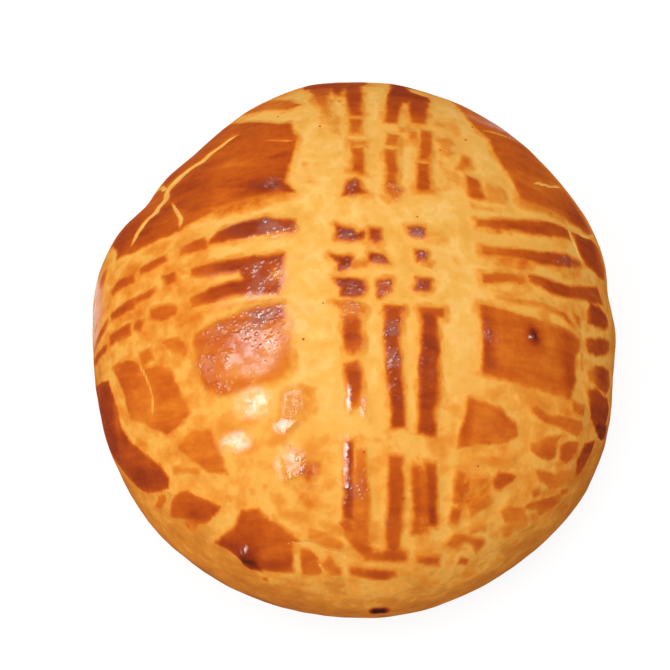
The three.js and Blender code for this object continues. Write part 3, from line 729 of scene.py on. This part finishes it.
# Baked dough under egg glaze. The dough is a dull warm yellow that grows darker towards the base, partly
# browned and partly painted shade.
# The glaze is clear amber to red brown with its thickness, dull where it dried thin and
# glossy with small blisters where it stayed thick.
crust = bpy.data.materials.new("egg_glazed_bread_crust")
crust.use_nodes = True
tree = crust.node_tree
tree.nodes.clear()


def linear(colour):
    """A colour written as sRGB hex, as the linear values that the shader wants."""
    channels = [int(colour[i:i + 2], 16) / 255 for i in (1, 3, 5)]
    return [c / 12.92 if c <= 0.04045 else ((c + 0.055) / 1.055) ** 2.4 for c in channels] + [1.0]


def add(kind, settings, output=0):
    """Add a node, set or link what the settings name, and give back one of its outputs."""
    made = tree.nodes.new("ShaderNode" + kind)
    for name, value in settings.items():
        if name == "stops":
            for place, _ in value[2:]:
                made.color_ramp.elements.new(place)
            for element, (place, colour) in zip(made.color_ramp.elements, value):
                element.position = place
                element.color = linear(colour)
        elif isinstance(value, bpy.types.NodeSocket):
            tree.links.new(value, made.inputs[name])
        elif isinstance(name, int) or name in made.inputs:
            made.inputs[name].default_value = value
        else:
            setattr(made, name, value)
    return made.outputs[output] if made.outputs else None


position = add("TexCoord", {}, "Object")
height_here = add("SeparateXYZ", {"Vector": position}, "Z")
edge, tone, soft, split, thin_and_shade, shiny, blisters_and_sheen, higher = [
    add("Attribute", {"attribute_name": name}, "Fac") for name in layers
]
flat_place = add("Attribute", {"attribute_name": "crust_place"}, "Vector")

# Unevenness of the baked skin at the sizes that show, in mm, and streaks left by the brush.
grain = add("TexNoise", {"Vector": position, "Scale": 1000 / 0.6, "Detail": 2.0})
specks = add("TexNoise", {"Vector": position, "Scale": 1000 / 1.3, "Detail": 3.0, "Roughness": 0.6})
blotches = add("TexNoise", {"Vector": position, "Scale": 1000 / 3.2, "Detail": 3.0})
swells = add("TexNoise", {"Vector": position, "Scale": 1000 / 5.0, "Detail": 1.0})
clouds = add("TexNoise", {"Vector": position, "Scale": 1000 / 8.0, "Detail": 3.0})
brushed = add("Mapping", {
    "Vector": flat_place, "Scale": (0.09, 0.3, 1.0), "Rotation": (0, 0, math.radians(-12)),
})
combed = add("Mapping", {
    "Vector": flat_place, "Scale": (0.22, 0.9, 1.0), "Rotation": (0, 0, math.radians(-8)),
})
wrinkles = add("TexNoise", {"Vector": combed, "Scale": 1.0, "Detail": 3.0, "Roughness": 0.6})
streaks = add("TexNoise", {"Vector": brushed, "Scale": 1.0, "Detail": 3.0, "Roughness": 0.55})

# How thick the glaze is: full inside a piece, thinning out over its soft edge, and cut
# sharply at the splits.
ragged = edge
for pattern, share in [(specks, 0.7), (blotches, 0.7), (grain, 0.16)]:
    ragged = add("Math", {"operation": "MULTIPLY_ADD", 0: pattern, 1: share, 2: ragged})
ragged = add("Math", {"operation": "SUBTRACT", 0: ragged, 1: 0.78})
spread = add("MapRange", {"Value": swells, "From Min": 0.3, "From Max": 0.7, "To Min": 0.5, "To Max": 1.2})
spread = add("Math", {"operation": "MULTIPLY", 0: spread, 1: soft})
outside = add("Math", {"operation": "MULTIPLY", 0: spread, 1: -1.0})
smooth = {"interpolation_type": "SMOOTHSTEP"}
cover = add("MapRange", {**smooth, "Value": ragged, "From Min": outside, "From Max": spread})
split_ragged = add("Math", {"operation": "MULTIPLY_ADD", 0: specks, 1: 0.4, 2: split})
whole = add("MapRange", {
    **smooth, "Value": split_ragged, "From Min": 0.95, "From Max": 0.45, "To Min": 0.08,
})
cover = add("Math", {"operation": "MULTIPLY", 0: cover, 1: whole})

# It isn't even inside a piece either: brush streaks, clouds, specks and fine wrinkles.
uneven = tone
for pattern, share in [(streaks, 0.36), (clouds, 0.30), (specks, 0.2), (wrinkles, 0.16)]:
    uneven = add("Math", {"operation": "MULTIPLY_ADD", 0: pattern, 1: share, 2: uneven})
uneven = add("Math", {"operation": "SUBTRACT", 0: uneven, 1: 0.51})
thickness = add("Math", {"operation": "MULTIPLY", 0: uneven, 1: cover})

# Round the pieces lies a thin stain of egg, and here and there a film of it on the top.
near = add("MapRange", {**smooth, "Value": ragged, "From Min": -2.2, "From Max": 0.3, "To Max": 0.2})
film = add("MapRange", {"Value": swells, "From Min": 0.45, "From Max": 0.7, "To Max": 0.12})
above = add("MapRange", {"Value": height_here, "From Min": 0.024, "From Max": 0.032})
film = add("Math", {"operation": "MULTIPLY", 0: film, 1: above})
stain_and_shade = add("Math", {"operation": "MAXIMUM", 0: thin_and_shade, 1: near})
stain_and_shade = add("Math", {"operation": "MAXIMUM", 0: stain_and_shade, 1: film})
patchy = add("MapRange", {
    "Value": blotches, "From Min": 0.3, "From Max": 0.7, "To Min": 0.1, "To Max": 1.9,
})
stain_and_shade = add("Math", {"operation": "MULTIPLY", 0: stain_and_shade, 1: patchy})
half_whole = add("MapRange", {"Value": whole, "To Min": 0.15})
stain_and_shade = add("Math", {"operation": "MULTIPLY", 0: stain_and_shade, 1: half_whole})
thickness = add("Math", {"operation": "MAXIMUM", 0: thickness, 1: stain_and_shade})
thickness = add("Math", {"operation": "MULTIPLY", 0: thickness, 1: 0.8})

# Flecks of egg that spattered on the bare dough, and a few darker burnt ones.
fleck_cells = add("TexVoronoi", {"feature": "F1", "Vector": position, "Scale": 1000 / 3.6})
flecks = add("MapRange", {"Value": fleck_cells, "From Min": 0.07, "From Max": 0.03, "To Max": 0.34})
sparse = add("MapRange", {"Value": clouds, "From Min": 0.46, "From Max": 0.54})
flecks = add("Math", {"operation": "MULTIPLY", 0: flecks, 1: sparse})
flecks = add("Math", {"operation": "MULTIPLY", 0: flecks, 1: above})
thickness = add("Math", {"operation": "MAXIMUM", 0: thickness, 1: flecks})
burnt_cells = add("TexVoronoi", {"feature": "F1", "Vector": position, "Scale": 1000 / 5.0})
burnt = add("MapRange", {"Value": burnt_cells, "From Min": 0.055, "From Max": 0.03, "To Max": 0.62})
burnt = add("Math", {"operation": "MULTIPLY", 0: burnt, 1: above})
thickness = add("Math", {"operation": "MAXIMUM", 0: thickness, 1: burnt})
glaze_colour = add("ValToRGB", {"Fac": thickness, "stops": [
    (0.0, "#f1b056"), (0.12, "#eda243"), (0.24, "#e48f34"), (0.36, "#db7823"), (0.48, "#c85d1a"),
    (0.60, "#b14917"), (0.72, "#973816"), (0.84, "#752911"), (1.0, "#2b1308"),
]})

# The dough: pale gold where the tines and splits laid it bare, deeper on the side below the glaze and brown
# near the base, where the darkening is partly real browning and partly painted shade.
mottle = blotches
for pattern, share in [(specks, 0.3), (swells, 0.5)]:
    mottle = add("Math", {"operation": "MULTIPLY_ADD", 0: pattern, 1: share, 2: mottle})
pale = add("ValToRGB", {"Fac": mottle, "stops": [
    (0.66, "#eaa646"), (0.88, "#f1b557"), (1.0, "#f6c46e"),
]})
stretched = add("Mapping", {"Vector": position, "Scale": (1.0, 1.0, 1.5)})
marks = add("TexNoise", {"Vector": stretched, "Scale": 1000 / 4.0, "Detail": 4.0, "Roughness": 0.65})
level = add("Math", {"operation": "SUBTRACT", 0: height_here, 1: higher})
for pattern, share in [(clouds, 0.012), (blotches, 0.006), (marks, 0.022)]:
    level = add("Math", {"operation": "MULTIPLY_ADD", 0: pattern, 1: share, 2: level})
# Darker towards the base: partly browning, partly painted shade on the lower side.
browned_and_shaded = add("MapRange", {"Value": level, "From Min": 0.051, "From Max": 0.013})
side = add("ValToRGB", {"Fac": browned_and_shaded, "stops": [
    (0.0, "#eba447"), (0.18, "#de8d34"), (0.37, "#ca7628"), (0.55, "#ae6126"), (0.74, "#864a27"),
    (1.0, "#693820"),
]})
side_share = add("MapRange", {**smooth, "Value": level, "From Min": 0.052, "From Max": 0.040})

# The glaze only ever darkens the dough. Inputs 6 and 7 of a mix and its output 2 are colours.
dough = add("Mix", {"data_type": "RGBA", 0: side_share, 6: pale, 7: side}, 2)
glazed = add("MapRange", {"Value": thickness, "From Max": 0.16})
colour = add("Mix", {
    "data_type": "RGBA", "blend_type": "DARKEN", 0: glazed, 6: dough, 7: glaze_colour,
}, 2)

# Where the egg boiled, the glaze is mixed in clumps towards a pinkish grey: a painted sheen, standing in
# for the reflection of the white surroundings.
clumps = add("MapRange", {
    "Value": blotches, "From Min": 0.42, "From Max": 0.58, "To Min": 0.4, "To Max": 1.2,
})
blisters_and_sheen = add("Math", {"operation": "MULTIPLY", 0: blisters_and_sheen, 1: clumps})
painted_sheen = add("Math", {"operation": "MULTIPLY", 0: blisters_and_sheen, 1: cover})
painted_sheen = add("MapRange", {"Value": painted_sheen, "From Min": 0.4, "From Max": 1.0, "To Max": 0.18})
colour = add("Mix", {"data_type": "RGBA", 0: painted_sheen, 6: colour, 7: linear("#b79a92")}, 2)

# The skin: fine grain on the dough, and beads of two sizes where the thick glaze blistered.
cells = add("TexVoronoi", {"feature": "F1", "Vector": position, "Scale": 1000 / 1.0})
beads = add("MapRange", {**smooth, "Value": cells, "From Min": 0.46, "From Max": 0.1})
large_cells = add("TexVoronoi", {"feature": "F1", "Vector": position, "Scale": 1000 / 1.9})
large_beads = add("MapRange", {**smooth, "Value": large_cells, "From Min": 0.4, "From Max": 0.1})
beads = add("Math", {"operation": "MAXIMUM", 0: beads, 1: large_beads})
boiled = add("Math", {"operation": "MULTIPLY", 0: beads, 1: blisters_and_sheen})
boiled = add("Math", {"operation": "MULTIPLY", 0: boiled, 1: cover})
skin = blotches
for pattern, share in [(boiled, 2.2), (grain, 0.35), (cover, 0.3), (wrinkles, 0.5)]:
    skin = add("Math", {"operation": "MULTIPLY_ADD", 0: pattern, 1: share, 2: skin})
bump = add("Bump", {"Strength": 0.8, "Distance": 0.00012, "Height": skin})

# The glaze is a clear coat over the browned egg: strong where it lay thick, broken up by the
# grain of the skin, and bright on every bead.
dullness = add("MapRange", {"Value": cover, "To Min": 0.62, "To Max": 0.45})
lustre = add("Math", {"operation": "ADD", 0: blotches, 1: specks})
lustre = add("MapRange", {
    "Value": lustre, "From Min": 0.84, "From Max": 1.16, "To Min": 0.25, "To Max": 1.5,
})
lustre = add("Math", {"operation": "MULTIPLY", 0: lustre, 1: shiny})
clear_coat = add("Math", {"operation": "MULTIPLY_ADD", 0: cover, 1: 0.008, 2: lustre})
clear_coat = add("Math", {"operation": "ADD", 0: clear_coat, 1: boiled})

shader = add("BsdfPrincipled", {
    "Base Color": colour, "Roughness": dullness, "IOR": 1.45, "Specular IOR Level": 0.0,
    "Normal": bump, "Sheen Weight": 0.015, "Sheen Roughness": 0.4,
    "Coat Weight": clear_coat, "Coat Roughness": 0.095, "Coat IOR": 2.3, "Coat Normal": bump,
})
add("OutputMaterial", {"Surface": shader})
bun.data.materials.append(crust)

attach(bun, "root")
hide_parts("bun")

# The floor: one large sheet painted matt white, just below the base of the bun. It glows
# softly, so that the ground stays white and the bun's shadow on it is faint.
sheet_gap = 0.05 * MM
bpy.ops.object.select_all(action="DESELECT")
bpy.ops.mesh.primitive_plane_add(size=6.0, location=(0, 0, -sheet_gap))
floor = bpy.context.object
floor.name = "floor"
white = bpy.data.materials.new("matt_white_paint")
white.use_nodes = True
paint = white.node_tree.nodes["Principled BSDF"]
paint.inputs["Base Color"].default_value = linear("#787878")
paint.inputs["Roughness"].default_value = 0.9
paint.inputs["Emission Color"].default_value = linear("#ffffff")
paint.inputs["Emission Strength"].default_value = 0.86
floor.data.materials.append(white)

# Studio light: a large soft box above and behind, a long one on the left, and a lamp at the
# front left whose glints lie on the near left of the dome, in white surroundings.
centre = Vector((0.0, 0.0, 0.025))


def soft_box(name, direction, distance, size, power):
    """A flat lamp that faces the middle of the bun. Lengths are in metres, the power in watts."""
    place = centre + Vector(direction).normalized() * distance
    bpy.ops.object.light_add(type="AREA", location=place)
    lamp = bpy.context.object
    lamp.name = name
    lamp.data.shape = "RECTANGLE"
    lamp.data.size = size[0]
    lamp.data.size_y = size[1]
    lamp.data.energy = power
    lamp.rotation_euler = (centre - lamp.location).to_track_quat("-Z", "Y").to_euler()


soft_box("top_soft_box", (0.24, 0.16, 0.96), 1.3, (1.1, 1.1), 9.5)
soft_box("left_soft_box", (-0.50, 0.02, 0.86), 0.9, (0.32, 0.8), 2.0)
soft_box("front_left_lamp", (-0.45, -0.45, 0.77), 0.8, (0.46, 0.46), 3.1)
surroundings = bpy.data.worlds.new("white_room")
surroundings.use_nodes = True
walls = surroundings.node_tree.nodes["Background"]
walls.inputs["Color"].default_value = linear("#ffffff")
walls.inputs["Strength"].default_value = 0.15
bpy.context.scene.world = surroundings
bpy.context.scene.view_settings.view_transform = "Standard"

# The camera looks down on the bun from the front, 68 degrees above the floor, through a long
# lens. Its aim is a little left of the bun's middle and above it.
climb = math.radians(68)
camera_distance = 0.4
up = Vector((0.0, math.sin(climb), math.cos(climb)))
back = Vector((0.0, -math.cos(climb), math.sin(climb)))
aim = Vector((-3.09 * MM, 0.0, 18.0 * MM)) + up * 0.77 * MM
bpy.ops.object.camera_add(location=aim + back * camera_distance)
camera = bpy.context.object
camera.name = "camera"
camera.data.lens = 125.3
camera.data.sensor_width = 36.0
camera.data.clip_start = 0.01
camera.rotation_euler = (-back).to_track_quat("-Z", "Y").to_euler()
bpy.context.scene.camera = camera
